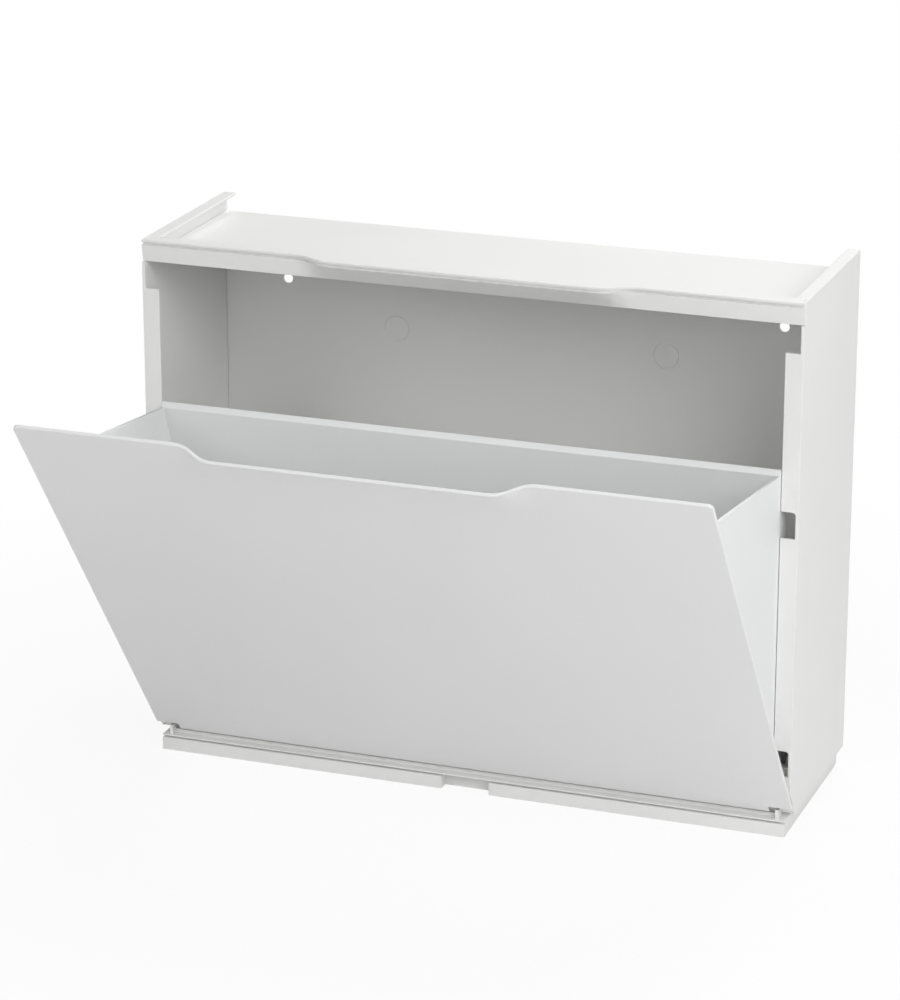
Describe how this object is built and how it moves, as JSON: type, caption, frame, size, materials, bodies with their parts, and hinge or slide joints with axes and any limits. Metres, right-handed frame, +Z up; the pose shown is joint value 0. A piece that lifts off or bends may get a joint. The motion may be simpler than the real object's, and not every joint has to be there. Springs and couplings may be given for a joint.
{
  "type": "tip-out shoe cabinet",
  "caption": "Slim white moulded cabinet module with a tip-out flap and bin for shoes, a flared finger edge, a stacking rim on top and a matching foot below.",
  "frame": {"origin": "on the floor under the middle of the carcass, where the base's middle ribs cross", "axes": "+X to the right seen from the front, +Y from the front to the wall behind, +Z up"},
  "size_m": [0.51, 0.3889, 0.41],
  "materials": {
    "carcass": "satin moulded",
    "flap": "satin moulded",
    "bin": "satin moulded",
    "fittings": "satin moulded",
    "screws": "zinc plated"
  },
  "bodies": {
    "carcass": {"left_side": "carcass", "right_side": "carcass", "top_panel": "carcass", "back_panel": "carcass", "base_panel": "carcass", "panel_pins": "fittings", "left_pivot_bearing": "fittings", "right_pivot_bearing": "fittings"},
    "flap": {"flap_front": "flap", "left_cheek": "bin", "right_cheek": "bin", "bin_back": "bin", "bin_floor": "bin", "left_pivot_stud": "fittings", "right_pivot_stud": "fittings", "left_stop_stud": "fittings", "right_stop_stud": "fittings", "bin_screws": "screws"}
  },
  "joints": [
    {"name": "flap_tilt", "type": "hinge", "parent": "carcass", "child": "flap", "pos_m": [0, -0.07, 0.04], "axis": [-1, 0, 0], "range_deg": [0, 36.65]}
  ]
}
